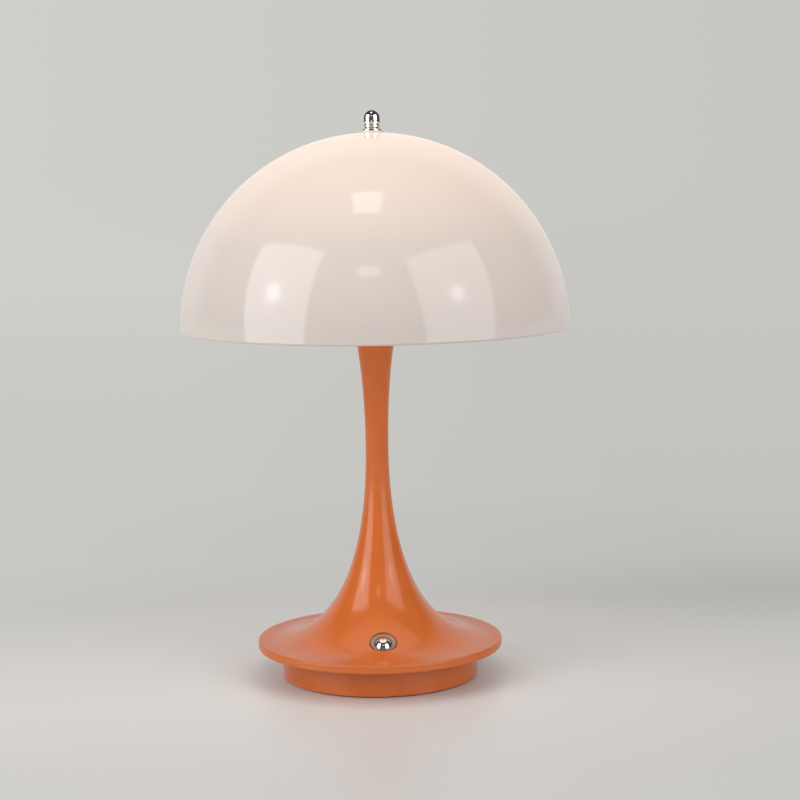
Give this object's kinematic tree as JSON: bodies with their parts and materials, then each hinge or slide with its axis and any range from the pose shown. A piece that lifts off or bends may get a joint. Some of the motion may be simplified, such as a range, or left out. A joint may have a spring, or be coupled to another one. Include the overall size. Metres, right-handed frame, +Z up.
{
  "type": "cordless table lamp",
  "caption": "Table lamp with a half-round opal shade on a trumpet-shaped stem and round base, with push button, charging port and screw-down finial.",
  "frame": {"origin": "on the lamp's axis, at the underside of the foot pad", "axes": "+Z up along the lamp's axis, -Y towards the push button, +Y towards the charging port"},
  "size_m": [0.21, 0.21, 0.308],
  "materials": {
    "opal_acrylic": "gloss, translucent",
    "orange_paint": "satin gloss paint",
    "chrome": "mirror",
    "clear_plastic": "clear",
    "satin_metal": "satin",
    "zinc_steel": "bright zinc",
    "soft_silicone": "matt",
    "pad_rubber": "matt",
    "black_plastic": "fine texture",
    "white_plastic": "satin",
    "aluminium": "turned",
    "frosted_plastic": "frosted, translucent",
    "board_white": "solder mask",
    "board_green": "solder mask",
    "chip_phosphor": "warm light chip",
    "cell_wrap": "shrink film",
    "wire_red": "insulation",
    "wire_black": "insulation",
    "cable_grey": "insulation"
  },
  "bodies": {
    "base": {"seat_washer": "soft_silicone", "shade_post": "chrome", "post_nut": "zinc_steel", "diffuser_collar": "chrome", "led_diffuser": "frosted_plastic", "led_board": "board_white", "led_chips": "chip_phosphor", "led_screws": "zinc_steel", "led_plate": "aluminium", "plate_screws": "zinc_steel", "led_cable": "cable_grey", "trumpet_body": "orange_paint", "button_housing": "satin_metal", "switch_insert": "black_plastic", "button_nut": "zinc_steel", "switch_leads": "wire_black", "drum_foot": "orange_paint", "bottom_cover": "black_plastic", "cover_screws": "zinc_steel", "foot_pad": "pad_rubber", "battery_cell": "cell_wrap", "battery_clamp": "white_plastic", "clamp_screws": "zinc_steel", "battery_lead_positive": "wire_red", "battery_lead_negative": "wire_black", "main_board": "board_green", "board_screws": "zinc_steel", "board_parts": "white_plastic", "usb_shell": "zinc_steel", "usb_tongue": "black_plastic"},
    "shade_lifted": {"shade": "opal_acrylic"},
    "washer": {"finial_washer": "clear_plastic"},
    "finial_nut": {"finial": "chrome", "finial_insert": "zinc_steel"},
    "button": {"button_cap": "chrome", "switch_plunger": "black_plastic"}
  },
  "joints": [
    {"name": "shade_lift", "type": "slide", "parent": "base", "child": "shade_lifted", "axis": [0, 0, 1], "range_m": [0, 0.115]},
    {"name": "finial_rise", "type": "slide", "parent": "shade_lifted", "child": "washer", "axis": [0, 0, 1], "range_m": [0, 0.0072]},
    {"name": "finial_turn", "type": "hinge", "parent": "washer", "child": "finial_nut", "pos_m": [0, 0, 0.3], "axis": [0, 0, 1], "range_deg": [0, 3240]},
    {"name": "button_press", "type": "slide", "parent": "base", "child": "button", "axis": [0, 0.5071, -0.8619], "range_m": [0, 0.0008], "stiffness_N_per_m": 1500, "springref_m": -0.0005}
  ],
  "couplings": [
    {"joint": "finial_turn", "follows": "finial_rise", "rad_per_m": 7853.9}
  ]
}
